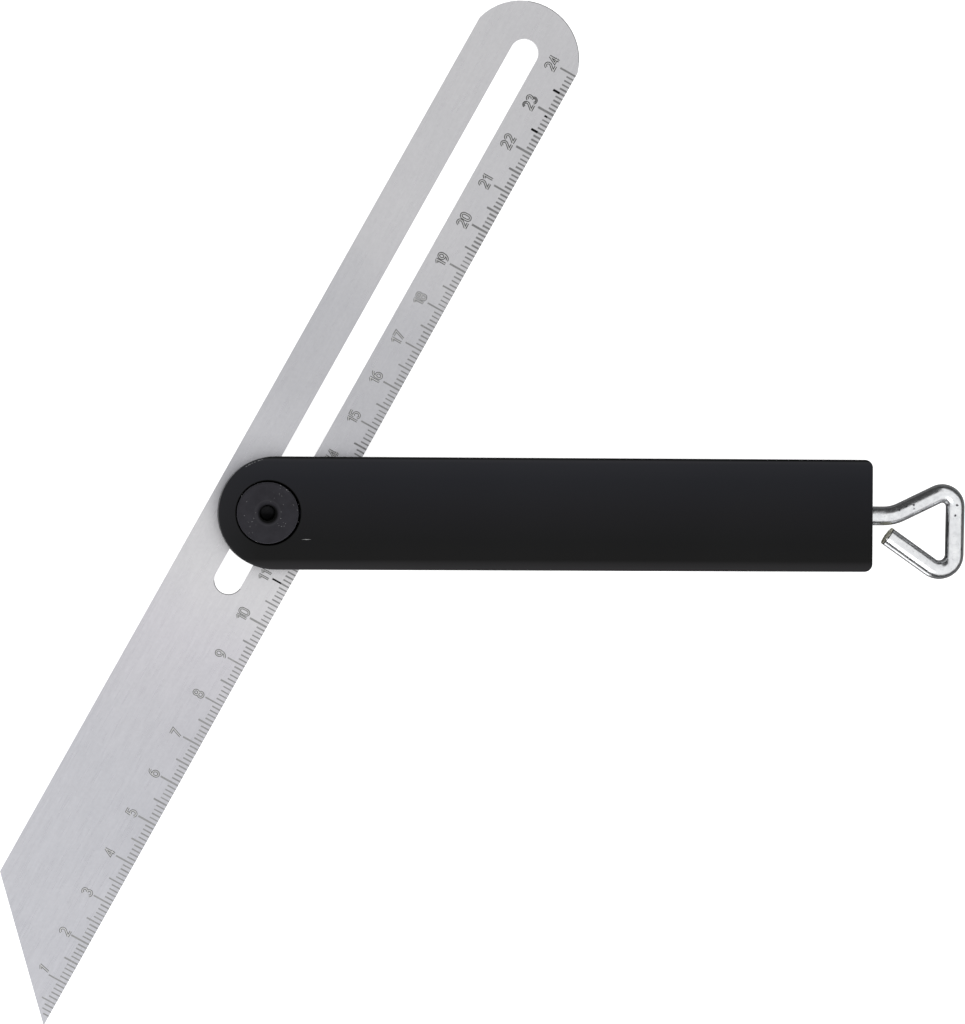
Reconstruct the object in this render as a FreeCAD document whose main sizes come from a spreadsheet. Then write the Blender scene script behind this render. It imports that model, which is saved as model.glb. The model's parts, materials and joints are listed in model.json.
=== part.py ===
import FreeCAD
import Part
import Sketcher
import math
import os
from types import SimpleNamespace

# Adjustable set square: a slotted steel blade between the two halves of a moulded handle.
# Origin on the pivot axis, in the plane of the handle's back face. +X runs along the handle
# to its butt, +Y across it, +Z up through its thickness. The blade stands at its rest angle.

# Driving dimensions in millimetres, angles in degrees, and counts.
SIZES = (
    ("handle_length", "144.5", "nose to butt"),
    ("handle_width", "24.8", "across both long edges"),
    ("nose_reach", "10.8", "pivot axis to the nose"),
    ("back_cheek", "6.5", "thickness of the back half"),
    ("front_cheek", "9.5", "thickness of the front half"),
    ("butt_round", "1.8", "upright corners at the butt"),
    ("edge_round", "0.4", "outer edges of the front half"),
    ("edge_bevel", "0.4", "outer edges of the back half"),
    ("shell_wall", "2", "outer walls of both halves"),
    ("beam_width", "9.2", "solid beam along the middle"),
    ("rib_thickness", "1.6", "ribs between the core cells"),
    ("cell_count", "6", "core cells in a row"),
    ("bridge_length", "5.05", "pad that joins the halves at the butt"),
    ("disc_hole", "14.3", "diameter of the round openings for the discs"),
    ("disc_hole_shift", "0.12", "opening's axis behind the pivot axis"),
    ("blade_length", "250.7", "tip to round end"),
    ("blade_width", "25", "graduated edge to plain edge"),
    ("blade_thickness", "1.5", "sheet thickness"),
    ("blade_side_gap", "0.25", "blade to each half of the handle"),
    ("rest_angle", "61", "blade to handle in the rest pose"),
    ("mitre_angle", "45", "slanted end to the graduated edge"),
    ("end_bulge", "0.5", "radius of the round end beyond half the width"),
    ("pivot_station", "122.35", "tip to pivot axis in the rest pose"),
    ("slot_reach", "20.15", "pivot axis to the slot's end nearer the tip, in the rest pose"),
    ("slot_width", "6.3", "between the straight sides"),
    ("slot_margin", "8.3", "slot to the round end"),
    ("disc_diameter", "13.5", "front, back and clamp discs"),
    ("disc_recess", "0.2", "discs below the handle's faces"),
    ("disc_round", "0.3", "outer rims of the discs"),
    ("lap_gap", "0.02", "disc to blade"),
    ("wedge_bevel", "1.6", "45 degree bevels that form the wedge groove"),
    ("wedge_split", "0.3", "front disc to clamp disc"),
    ("wedge_gap", "0.07", "cone behind its seat in the groove"),
    ("eye_diameter", "3.5", "recess round the stud's end"),
    ("eye_depth", "2.2", "recess round the stud's end"),
    ("eye_bevel", "0.5", "lead-in of the recess"),
    ("stud_diameter", "7", "middle of the stud"),
    ("stud_flats", "6", "across the two flats"),
    ("neck_diameter", "2.75", "ends of the stud"),
    ("neck_recess", "0.9", "stud's ends below the discs' faces"),
    ("neck_bevel", "0.4", "ends of the stud"),
    ("fit_gap", "0.01", "radial, for pressed pieces"),
    ("running_gap", "0.05", "radial, for pieces that slide on each other"),
    ("plunger_width", "4", "square body"),
    ("plunger_length", "10", "tip to tail"),
    ("plunger_tip", "0.3", "radius of the blunt tip"),
    ("guide_gap", "0.1", "plunger, nut block and their pockets"),
    ("end_gap", "0.02", "plunger to the key's inner end"),
    ("block_start", "17", "pivot axis to the nut block"),
    ("block_length", "8", "along the key"),
    ("block_width", "7", "square"),
    ("block_bevel", "0.5", "long edges of the nut block"),
    ("thread_gap", "0.03", "radial, key to nut block"),
    ("thread_pitch", "0.7", "key's thread"),
    ("release_turns", "1.5", "key turns from locked to free"),
    ("wire_diameter", "4.2", "key"),
    ("wire_bevel", "0.4", "inner end of the key"),
    ("rod_bore", "4.6", "key's bore in the front half"),
    ("ring_station", "30", "pivot axis to the retaining ring"),
    ("ring_thickness", "0.6", "retaining ring"),
    ("ring_diameter", "7", "retaining ring"),
    ("ring_mouth", "2.6", "retaining ring's opening"),
    ("ring_groove", "3.3", "diameter of the key in its groove"),
    ("ring_play", "0.1", "groove wider than the ring"),
    ("ring_room", "0.3", "ring to its pocket"),
    ("neck_length", "5.2", "butt to the key's first corner"),
    ("rise_angle", "25.8", "key's first leg to the handle"),
    ("rise_length", "15.69", "key's first leg, corner to corner"),
    ("fall_angle", "89.1", "key's second leg to the handle"),
    ("fall_length", "21.8", "key's second leg, corner to corner"),
    ("return_angle", "35.1", "key's third leg to the handle"),
    ("return_length", "18.28", "key's third leg, corner to free end"),
    ("neck_bend", "9", "radius of the key's first bend"),
    ("top_bend", "2.9", "radius of the key's second bend"),
    ("low_bend", "3.4", "radius of the key's third bend"),
    ("screw_diameter", "2.2", "shank"),
    ("screw_length", "14", "with its head"),
    ("screw_head", "3.8", "countersunk head"),
    ("screw_spacing", "15", "between the two screws"),
    ("screw_recess", "0.1", "heads below the back face"),
    ("screw_point", "0.6", "bevelled end of a screw"),
    ("hole_spare", "0.5", "pilot holes beyond the screws"),
    ("overrun", "1", "cuts that start outside the solid"),
)


class Term:
    """A value together with the expression that gives it from the sheet."""

    def __init__(self, value, text):
        self.value = value
        self.text = text

    def __add__(self, other):
        other = term(other)
        return Term(self.value + other.value, "(%s + %s)" % (self.text, other.text))

    def __sub__(self, other):
        other = term(other)
        return Term(self.value - other.value, "(%s - %s)" % (self.text, other.text))

    def __mul__(self, other):
        other = term(other)
        return Term(self.value * other.value, "(%s * %s)" % (self.text, other.text))

    def __truediv__(self, other):
        other = term(other)
        return Term(self.value / other.value, "(%s / %s)" % (self.text, other.text))

    def __radd__(self, other):
        return term(other) + self

    def __rsub__(self, other):
        return term(other) - self

    def __neg__(self):
        return Term(-self.value, "(0 - %s)" % self.text)


def term(number):
    """A plain number as a Term."""
    if isinstance(number, Term):
        return number
    return Term(float(number), repr(number))


def sine(angle):
    return Term(math.sin(math.radians(angle.value)), "sin(%s * 1 deg)" % angle.text)


def cosine(angle):
    return Term(math.cos(math.radians(angle.value)), "cos(%s * 1 deg)" % angle.text)


def tangent(angle):
    return Term(math.tan(math.radians(angle.value)), "tan(%s * 1 deg)" % angle.text)


def root(square):
    return Term(math.sqrt(square.value), "sqrt(%s)" % square.text)


doc = FreeCAD.newDocument("set_square")
sheet = doc.addObject("Spreadsheet::Sheet", "Sizes")
for row, (alias, number, note) in enumerate(SIZES, start=1):
    sheet.set("A%d" % row, alias)
    sheet.set("B%d" % row, number)
    sheet.setAlias("B%d" % row, alias)
    sheet.set("C%d" % row, note)
doc.recompute()
S = SimpleNamespace(**{alias: Term(float(number), "Sizes." + alias) for alias, number, note in SIZES})
ZERO = term(0)
rounding_share = 1e-8  # of the handle's length

# Places that several pieces share, worked out from the driving dimensions.
half_width = S.handle_width / 2
nose_centre = half_width - S.nose_reach
butt = S.handle_length - S.nose_reach
blade_room = S.blade_thickness + S.blade_side_gap * 2
front_level = S.back_cheek + blade_room
handle_top = front_level + S.front_cheek
blade_level = S.back_cheek + S.blade_side_gap
rod_height = S.front_cheek / 2
rod_level = front_level + rod_height
disc_radius = S.disc_diameter / 2
back_disc_top = blade_level - S.lap_gap
clamp_level = blade_level + S.blade_thickness + S.lap_gap
clamp_top = rod_level - S.wedge_split / 2
front_disc_level = rod_level + S.wedge_split / 2
bevel_inner = disc_radius - S.wedge_bevel
plunger_station = bevel_inner - S.wedge_split / 2 + S.wedge_gap + S.plunger_tip
rod_start = plunger_station + S.plunger_length + S.end_gap
key_travel = S.thread_pitch * S.release_turns
core_start = S.disc_hole_shift + S.disc_hole / 2 + S.shell_wall
core_end = butt - S.bridge_length - S.shell_wall
cell_pitch = (core_end - core_start + S.rib_thickness) / S.cell_count
screw_x = butt - S.bridge_length / 2
screw_y = S.screw_spacing / 2


def vector(point):
    return FreeCAD.Vector(point[0].value, point[1].value, 0)


def new_body(label, x=ZERO, y=ZERO, z=ZERO):
    """A body that is placed in the row frame by expressions."""
    body = doc.addObject("PartDesign::Body", label)
    body.Label = label
    for axis, place in zip("xyz", (x, y, z)):
        if place is not ZERO:
            body.setExpression("Placement.Base." + axis, place.text)
    return body


def origin_feature(body, role):
    return [feature for feature in body.Origin.OriginFeatures if feature.Role == role][0]


def new_sketch(body, name, role, level=ZERO):
    """A sketch on one of the body's origin planes, moved along its normal by level."""
    sketch = body.newObject("Sketcher::SketchObject", name)
    sketch.AttachmentSupport = [(origin_feature(body, role), "")]
    sketch.MapMode = "FlatFace"
    if level is not ZERO:
        sketch.setExpression("AttachmentOffset.Base.z", level.text)
    return sketch


def tie(sketch, kind, first, first_end, second, second_end, value):
    """A distance constraint bound to the sheet."""
    index = sketch.addConstraint(
        Sketcher.Constraint(kind, first, first_end, second, second_end, value.value))
    sketch.setExpression("Constraints[%d]" % index, value.text)


def pin_x(sketch, edge, end, x):
    if x is ZERO:
        sketch.addConstraint(Sketcher.Constraint("PointOnObject", edge, end, -2))
    else:
        tie(sketch, "DistanceX", -1, 1, edge, end, x)


def pin_y(sketch, edge, end, y):
    if y is ZERO:
        sketch.addConstraint(Sketcher.Constraint("PointOnObject", edge, end, -1))
    else:
        tie(sketch, "DistanceY", -1, 1, edge, end, y)


def trace(sketch, points, closed=True):
    """Lines and arcs through points that are tied to the sheet.

    A point is (x, y), or (x, y, centre, turn) where an arc starts: turn is 1 for an arc
    that runs anticlockwise and -1 for one that runs clockwise.
    """
    first = sketch.GeometryCount
    count = len(points) if closed else len(points) - 1
    ends = []
    for index in range(count):
        start = points[index]
        stop = points[(index + 1) % len(points)]
        if len(start) == 2:
            sketch.addGeometry(Part.LineSegment(vector(start), vector(stop)), False)
            ends.append((1, 2))
            continue
        centre, turn = start[2:]
        spokes = [vector(point) - vector(centre) for point in (start, stop)]
        angles = [math.atan2(spoke.y, spoke.x) for spoke in spokes][::turn]
        circle = Part.Circle(vector(centre), FreeCAD.Vector(0, 0, 1), spokes[0].Length)
        sketch.addGeometry(Part.ArcOfCircle(circle, angles[0], angles[1]), False)
        ends.append((1, 2)[::turn])
    for index in range(count):
        pin_x(sketch, first + index, ends[index][0], points[index][0])
        pin_y(sketch, first + index, ends[index][0], points[index][1])
        if closed or index + 1 < count:
            after = (index + 1) % count
            sketch.addConstraint(Sketcher.Constraint(
                "Coincident", first + index, ends[index][1], first + after, ends[after][0]))
    if not closed:
        pin_x(sketch, first + count - 1, ends[-1][1], points[-1][0])
        pin_y(sketch, first + count - 1, ends[-1][1], points[-1][1])
    for index in range(count):
        if len(points[index]) == 2:
            continue
        chord = vector(points[(index + 1) % len(points)]) - vector(points[index])
        centre = points[index][2]
        if abs(chord.y) > abs(chord.x):
            pin_x(sketch, first + index, 3, centre[0])
        else:
            pin_y(sketch, first + index, 3, centre[1])


def box_outline(x_low, y_low, x_high, y_high):
    return [(x_low, y_low), (x_high, y_low), (x_high, y_high), (x_low, y_high)]


def draw_circle(sketch, x, y, radius):
    edge = sketch.addGeometry(
        Part.Circle(vector((x, y)), FreeCAD.Vector(0, 0, 1), radius.value), False)
    pin_x(sketch, edge, 3, x)
    pin_y(sketch, edge, 3, y)
    index = sketch.addConstraint(Sketcher.Constraint("Radius", edge, radius.value))
    sketch.setExpression("Constraints[%d]" % index, radius.text)


def pad(body, sketch, length, backwards=False):
    feature = body.newObject("PartDesign::Pad", sketch.Name + "_pad")
    feature.Profile = sketch
    feature.setExpression("Length", length.text)
    feature.Reversed = backwards
    doc.recompute()
    return feature


def expect_cut(body, volume):
    """A cut that removes nothing stops the build."""
    if body.Shape.Volume >= volume:
        raise RuntimeError("a cut in %s removes nothing" % body.Label)


def pocket(body, sketch, depth, forwards=False):
    """Cut against the sketch's normal, or along it when forwards is set."""
    volume = body.Shape.Volume
    feature = body.newObject("PartDesign::Pocket", sketch.Name + "_pocket")
    feature.Profile = sketch
    feature.setExpression("Length", depth.text)
    feature.Reversed = forwards
    doc.recompute()
    expect_cut(body, volume)
    return feature


def revolve(body, sketch, axis):
    feature = body.newObject("PartDesign::Revolution", sketch.Name + "_revolution")
    feature.Profile = sketch
    feature.ReferenceAxis = (sketch, [axis])
    feature.Angle = 360
    doc.recompute()
    return feature


def groove(body, sketch, axis):
    volume = body.Shape.Volume
    feature = body.newObject("PartDesign::Groove", sketch.Name + "_groove")
    feature.Profile = sketch
    feature.ReferenceAxis = (sketch, [axis])
    feature.Angle = 360
    doc.recompute()
    expect_cut(body, volume)
    return feature


def near(first, second):
    """Equal lengths, apart from rounding."""
    return abs(first - second) < rounding_share * S.handle_length.value


def dress(body, kind, name, size, wanted):
    """A fillet or a chamfer on the edges of the body that wanted picks by their place."""
    base = body.Tip
    edges = ["Edge%d" % number
             for number, edge in enumerate(base.Shape.Edges, start=1) if wanted(edge)]
    feature = body.newObject("PartDesign::" + kind, name)
    feature.Base = (base, edges)
    feature.setExpression("Radius" if kind == "Fillet" else "Size", size.text)
    doc.recompute()
    return feature


def upright_at(x):
    """Picks edges along Z at the given x."""
    def wanted(edge):
        box = edge.BoundBox
        return near(box.XMin, x.value) and near(box.XMax, x.value) and near(box.YLength, 0)
    return wanted


def outline_at(z):
    """Picks the edges of the handle's outline in the plane at the given height."""
    def wanted(edge):
        box = edge.BoundBox
        if not (near(box.ZMin, z.value) and near(box.ZMax, z.value)):
            return False
        across = max(abs(box.YMin), abs(box.YMax))
        return near(across, half_width.value) or near(box.XMin, butt.value)
    return wanted


def handle_outline(body, name):
    """The handle seen from the front: a round nose and a square butt."""
    sketch = new_sketch(body, name, "XY_Plane")
    trace(sketch, [
        (nose_centre, -half_width),
        (butt, -half_width),
        (butt, half_width),
        (nose_centre, half_width, (nose_centre, ZERO), 1),
    ])
    return sketch


def cut_disc_hole(body, depth):
    sketch = new_sketch(body, body.Label + "_disc_hole", "XY_Plane")
    draw_circle(sketch, S.disc_hole_shift, ZERO, S.disc_hole / 2)
    pocket(body, sketch, depth, forwards=True)


def cut_core_cells(body, level, depth, forwards):
    """Two rows of core cells beside the beam, open towards the blade."""
    sketch = new_sketch(body, body.Label + "_cells", "XY_Plane", level)
    cell_end = core_start + cell_pitch - S.rib_thickness
    side = half_width - S.shell_wall
    beam = S.beam_width / 2
    trace(sketch, box_outline(core_start, beam, cell_end, side))
    trace(sketch, box_outline(core_start, -side, cell_end, -beam))
    first = pocket(body, sketch, depth, forwards=forwards)
    volume = body.Shape.Volume
    pattern = body.newObject("PartDesign::LinearPattern", body.Label + "_cell_rows")
    pattern.Originals = [first]
    pattern.Direction = (sketch, ["H_Axis"])
    pattern.setExpression("Length", (cell_pitch * (S.cell_count - 1)).text)
    pattern.setExpression("Occurrences", S.cell_count.text)
    body.Tip = pattern
    doc.recompute()
    expect_cut(body, volume)


def handle_back_half():
    body = new_body("handle_back_half")
    pad(body, handle_outline(body, "back_outline"), S.back_cheek)
    dress(body, "Fillet", "back_corners", S.butt_round, upright_at(butt))
    cut_disc_hole(body, S.back_cheek)
    cut_core_cells(body, S.back_cheek, S.back_cheek - S.shell_wall, False)
    sketch = new_sketch(body, "screw_places", "XY_Plane")
    for y in (screw_y, -screw_y):
        draw_circle(sketch, screw_x, y, S.screw_diameter / 2 + S.running_gap)
    doc.recompute()
    volume = body.Shape.Volume
    hole = body.newObject("PartDesign::Hole", "screw_holes")
    hole.Profile = sketch
    hole.ThreadType = 0
    hole.DepthType = "ThroughAll"
    hole.HoleCutType = "Countersink"
    hole.HoleCutCustomValues = True
    hole.HoleCutCountersinkAngle = 90
    hole.setExpression("Diameter", (S.screw_diameter + S.running_gap * 2).text)
    hole.setExpression("HoleCutDiameter", (S.screw_head + (S.screw_recess + S.running_gap) * 2).text)
    hole.Reversed = True
    doc.recompute()
    expect_cut(body, volume)
    dress(body, "Chamfer", "back_edge", S.edge_bevel, outline_at(ZERO))
    return body


def handle_front_half():
    """The front half carries the bridge pad, the key's bore and the pockets along it."""
    body = new_body("handle_front_half", z=front_level)
    pad(body, handle_outline(body, "front_outline"), S.front_cheek)
    bridge = new_sketch(body, "bridge", "XY_Plane")
    trace(bridge, box_outline(butt - S.bridge_length, -half_width, butt, half_width))
    pad(body, bridge, blade_room, backwards=True)
    dress(body, "Fillet", "front_corners", S.butt_round, upright_at(butt))
    cut_disc_hole(body, S.front_cheek)
    cut_core_cells(body, ZERO, S.front_cheek - S.shell_wall, True)

    guide = new_sketch(body, "plunger_guide", "XY_Plane")
    guide_half = S.plunger_width / 2 + S.guide_gap
    trace(guide, box_outline(disc_radius, -guide_half, S.block_start, guide_half))
    pocket(body, guide, rod_height + guide_half, forwards=True)

    nest = new_sketch(body, "block_nest", "XY_Plane")
    nest_half = S.block_width / 2 + S.guide_gap
    trace(nest, box_outline(
        S.block_start - S.guide_gap, -nest_half,
        S.block_start + S.block_length + S.guide_gap, nest_half))
    pocket(body, nest, rod_height + nest_half, forwards=True)

    room = new_sketch(body, "ring_pocket", "XY_Plane")
    room_half = S.ring_diameter / 2 + S.ring_room
    trace(room, box_outline(
        S.ring_station - S.ring_room, -room_half,
        S.ring_station + S.ring_thickness + key_travel + S.ring_room, room_half))
    pocket(body, room, rod_height + room_half, forwards=True)

    bore = new_sketch(body, "key_bore", "YZ_Plane", butt)
    draw_circle(bore, ZERO, rod_height, S.rod_bore / 2)
    pocket(body, bore, butt - S.block_start - S.block_length)

    pilots = new_sketch(body, "screw_pilots", "XY_Plane", -blade_room)
    for y in (screw_y, -screw_y):
        draw_circle(pilots, screw_x, y, S.screw_diameter / 2 + S.fit_gap)
    pilot_depth = S.screw_recess + S.screw_length - S.back_cheek + S.hole_spare
    pocket(body, pilots, pilot_depth, forwards=True)
    dress(body, "Fillet", "front_edge", S.edge_round, outline_at(S.front_cheek))
    return body


def handle_screws():
    """Two countersunk screws from the back, through the bridge pad."""
    screw = new_body("screw_model", x=screw_x, y=screw_y, z=S.screw_recess)
    sketch = new_sketch(screw, "screw_profile", "XZ_Plane")
    shank = S.screw_diameter / 2
    head = S.screw_head / 2
    trace(sketch, [
        (ZERO, ZERO),
        (head, ZERO),
        (shank, head - shank),
        (shank, S.screw_length - S.screw_point),
        (shank - S.screw_point, S.screw_length),
        (ZERO, S.screw_length),
    ])
    revolve(screw, sketch, "V_Axis")
    mirrored = doc.addObject("Part::Mirroring", "screw_mirrored")
    mirrored.Source = screw
    mirrored.Normal = FreeCAD.Vector(0, 1, 0)
    pair = doc.addObject("Part::Compound", "handle_screws")
    pair.Label = "handle_screws"
    pair.Links = [screw, mirrored]
    doc.recompute()
    return pair


def turn_with_blade(body):
    """The blade and the pieces that turn with it stand at the rest angle."""
    body.setExpression("Placement.Rotation.Angle", S.rest_angle.text + " * 1 deg")


def blade():
    """The slotted blade, drawn about the pivot: mitred tip behind, round end ahead."""
    body = new_body("blade", z=blade_level)
    turn_with_blade(body)
    half = S.blade_width / 2
    tip = -S.pivot_station
    far_end = S.blade_length - S.pivot_station
    end_radius = half + S.end_bulge
    arc_centre = far_end - end_radius
    arc_start = arc_centre + root(end_radius * end_radius - half * half)
    outline = new_sketch(body, "blade_outline", "XY_Plane")
    trace(outline, [
        (tip, -half),
        (arc_start, -half, (arc_centre, ZERO), 1),
        (arc_start, half),
        (tip + S.blade_width / tangent(S.mitre_angle), half),
    ])
    pad(body, outline, S.blade_thickness)
    slot_half = S.slot_width / 2
    slot_high = far_end - S.slot_margin - slot_half
    slot_low = slot_half - S.slot_reach
    slot = new_sketch(body, "blade_slot", "XY_Plane")
    trace(slot, [
        (slot_low, -slot_half),
        (slot_high, -slot_half, (slot_high, ZERO), 1),
        (slot_high, slot_half),
        (slot_low, slot_half, (slot_low, ZERO), 1),
    ])
    pocket(body, slot, S.blade_thickness, forwards=True)
    return body


def double_flat(sketch, radius, across):
    """A circle with two flats that run along X."""
    flat = across / 2
    reach = root(radius * radius - flat * flat)
    centre = (ZERO, ZERO)
    trace(sketch, [
        (-reach, -flat),
        (reach, -flat, centre, 1),
        (reach, flat),
        (-reach, flat, centre, 1),
    ])


def pivot_stud():
    """The stud that runs in the slot: a middle with two flats, and a neck at each end."""
    body = new_body("pivot_stud", z=back_disc_top)
    turn_with_blade(body)
    middle = new_sketch(body, "stud_middle", "XY_Plane")
    double_flat(middle, S.stud_diameter / 2, S.stud_flats)
    height = front_disc_level - back_disc_top
    pad(body, middle, height)
    neck = S.neck_diameter / 2
    high = handle_top - S.disc_recess - S.neck_recess - back_disc_top
    low = S.disc_recess + S.neck_recess - back_disc_top
    upper = new_sketch(body, "upper_neck", "XZ_Plane")
    trace(upper, [
        (ZERO, height - S.overrun),
        (neck, height - S.overrun),
        (neck, high - S.neck_bevel),
        (neck - S.neck_bevel, high),
        (ZERO, high),
    ])
    revolve(body, upper, "V_Axis")
    lower = new_sketch(body, "lower_neck", "XZ_Plane")
    trace(lower, [
        (ZERO, S.overrun),
        (neck, S.overrun),
        (neck, low + S.neck_bevel),
        (neck - S.neck_bevel, low),
        (ZERO, low),
    ])
    revolve(body, lower, "V_Axis")
    return body


def eye_profile(face, depth_sign):
    """The stepped recess of an outer disc, from the rim's face down to the neck's bore."""
    bore = S.neck_diameter / 2 + S.fit_gap
    eye = S.eye_diameter / 2
    return [
        (eye + S.eye_bevel, face),
        (eye, face - S.eye_bevel * depth_sign),
        (eye, face - S.eye_depth * depth_sign),
        (bore, face - S.eye_depth * depth_sign),
    ]


def front_disc():
    body = new_body("front_disc", z=front_disc_level)
    turn_with_blade(body)
    top = handle_top - S.disc_recess - front_disc_level
    profile = new_sketch(body, "front_disc_profile", "XZ_Plane")
    trace(profile, [
        (S.neck_diameter / 2 + S.fit_gap, ZERO),
        (bevel_inner, ZERO),
        (disc_radius, S.wedge_bevel),
        (disc_radius, top - S.disc_round),
        (disc_radius - S.disc_round, top),
    ] + eye_profile(top, 1))
    revolve(body, profile, "V_Axis")
    return body


def back_disc():
    body = new_body("back_disc", z=S.disc_recess)
    turn_with_blade(body)
    top = back_disc_top - S.disc_recess
    profile = new_sketch(body, "back_disc_profile", "XZ_Plane")
    trace(profile, [
        (S.neck_diameter / 2 + S.fit_gap, top),
        (disc_radius, top),
        (disc_radius, S.disc_round),
        (disc_radius - S.disc_round, ZERO),
    ] + eye_profile(ZERO, -1))
    revolve(body, profile, "V_Axis")
    return body


def clamp_disc():
    """The disc that the wedge presses down on the blade; it slides on the stud's flats."""
    body = new_body("clamp_disc", z=clamp_level)
    turn_with_blade(body)
    top = clamp_top - clamp_level
    profile = new_sketch(body, "clamp_disc_profile", "XZ_Plane")
    trace(profile, [
        (ZERO, ZERO),
        (disc_radius, ZERO),
        (disc_radius, top - S.wedge_bevel),
        (bevel_inner, top),
        (ZERO, top),
    ])
    revolve(body, profile, "V_Axis")
    hole = new_sketch(body, "clamp_hole", "XY_Plane")
    double_flat(hole, S.stud_diameter / 2 + S.running_gap, S.stud_flats + S.running_gap * 2)
    pocket(body, hole, top, forwards=True)
    return body


def wedge_plunger():
    """A square bar that can't turn, with a blunt cone that enters the discs' groove."""
    body = new_body("wedge_plunger", x=plunger_station, z=rod_level)
    section = new_sketch(body, "plunger_section", "YZ_Plane")
    half = S.plunger_width / 2
    trace(section, box_outline(-half, -half, half, half))
    pad(body, section, S.plunger_length)
    cone = new_sketch(body, "plunger_cone", "XZ_Plane")
    trace(cone, [
        (ZERO, S.plunger_tip),
        (S.plunger_width, S.plunger_tip + S.plunger_width),
        (ZERO, S.plunger_tip + S.plunger_width),
    ])
    groove(body, cone, "H_Axis")
    return body


def thread_block():
    """The square nut block that the key's thread runs in."""
    body = new_body("thread_block", x=S.block_start, z=rod_level)
    section = new_sketch(body, "block_section", "YZ_Plane")
    half = S.block_width / 2
    inner = half - S.block_bevel
    trace(section, [
        (-inner, -half), (inner, -half), (half, -inner), (half, inner),
        (inner, half), (-inner, half), (-half, inner), (-half, -inner),
    ])
    pad(body, section, S.block_length)
    bore = new_sketch(body, "block_bore", "YZ_Plane")
    draw_circle(bore, ZERO, ZERO, S.wire_diameter / 2 + S.thread_gap)
    pocket(body, bore, S.block_length, forwards=True)
    return body


def bend(corner, before, after, radius, side):
    """Where an arc of the given radius meets both legs of a corner, and its centre.

    before and after are the directions of the legs, in degrees; side is 1 for a bend to
    the left and -1 for one to the right.
    """
    setback = radius * tangent((after - before) * side / 2)
    start = (corner[0] - setback * cosine(before), corner[1] - setback * sine(before))
    stop = (corner[0] + setback * cosine(after), corner[1] + setback * sine(after))
    centre = (start[0] - radius * sine(before) * side, start[1] + radius * cosine(before) * side)
    return [(start[0], start[1], centre, side), stop]


def lock_key():
    """The bent wire key: a straight rod inside the handle, and a loop behind its butt."""
    body = new_body("lock_key", z=rod_level)
    rise = S.rise_angle
    fall = -(180 - S.fall_angle)
    back = -(180 + S.return_angle)
    first = (butt + S.neck_length, ZERO)
    second = (first[0] + S.rise_length * cosine(rise), first[1] + S.rise_length * sine(rise))
    third = (second[0] + S.fall_length * cosine(fall), second[1] + S.fall_length * sine(fall))
    end = (third[0] + S.return_length * cosine(back), third[1] + S.return_length * sine(back))
    route = [(rod_start, ZERO)]
    route += bend(first, ZERO, rise, S.neck_bend, 1)
    route += bend(second, rise, fall, S.top_bend, -1)
    route += bend(third, fall, back, S.low_bend, -1)
    route.append(end)
    spine = new_sketch(body, "key_route", "XY_Plane")
    trace(spine, route, closed=False)
    section = new_sketch(body, "key_section", "YZ_Plane", rod_start)
    draw_circle(section, ZERO, ZERO, S.wire_diameter / 2)
    doc.recompute()
    pipe = body.newObject("PartDesign::AdditivePipe", "key_wire")
    pipe.Profile = section
    pipe.Spine = (spine, ["Edge%d" % number for number in range(1, len(route))])
    doc.recompute()
    area = math.pi * S.wire_diameter.value ** 2 / 4
    print("key wire: volume over area times length",
          round(body.Shape.Volume / (area * spine.Shape.Length), 5))

    seat = new_sketch(body, "ring_groove", "XZ_Plane")
    trace(seat, box_outline(
        S.ring_station - S.ring_play / 2, S.ring_groove / 2,
        S.ring_station + S.ring_thickness + S.ring_play / 2, S.wire_diameter / 2 + S.overrun))
    groove(body, seat, "H_Axis")
    inner_end = rod_start.value
    dress(body, "Chamfer", "key_end", S.wire_bevel, lambda edge: near(edge.BoundBox.XMax, inner_end))
    return body


def retaining_ring():
    """An open ring in the key's groove, which stops the key from being screwed right out."""
    body = new_body("retaining_ring", x=S.ring_station, z=rod_level)
    section = new_sketch(body, "ring_section", "YZ_Plane")
    draw_circle(section, ZERO, ZERO, S.ring_diameter / 2)
    draw_circle(section, ZERO, ZERO, S.ring_groove / 2 + S.fit_gap)
    pad(body, section, S.ring_thickness)
    mouth = new_sketch(body, "ring_mouth_cut", "YZ_Plane")
    trace(mouth, box_outline(
        -S.ring_mouth / 2, -S.ring_diameter / 2 - S.overrun, S.ring_mouth / 2, ZERO))
    pocket(body, mouth, S.ring_thickness, forwards=True)
    return body


pieces = [
    handle_back_half(),
    handle_front_half(),
    handle_screws(),
    blade(),
    pivot_stud(),
    front_disc(),
    back_disc(),
    clamp_disc(),
    wedge_plunger(),
    thread_block(),
    lock_key(),
    retaining_ring(),
]
doc.recompute()
for item in doc.Objects:
    if "Invalid" in item.State or "Error" in item.State:
        raise RuntimeError("%s is in state %s" % (item.Name, item.State))
for piece in pieces:
    if piece.Shape.isNull() or not piece.Shape.isValid():
        raise RuntimeError("%s has no valid shape" % piece.Label)
os.makedirs("parts", exist_ok=True)
for piece in pieces:
    piece.Shape.exportStep("parts/%s.step" % piece.Label)
    box = piece.Shape.BoundBox
    print("%-18s volume %9.2f  x %8.2f %8.2f  y %8.2f %8.2f  z %6.2f %6.2f" % (
        piece.Label, piece.Shape.Volume, box.XMin, box.XMax, box.YMin, box.YMax,
        box.ZMin, box.ZMax))
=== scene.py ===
import json
import math
import random

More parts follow.
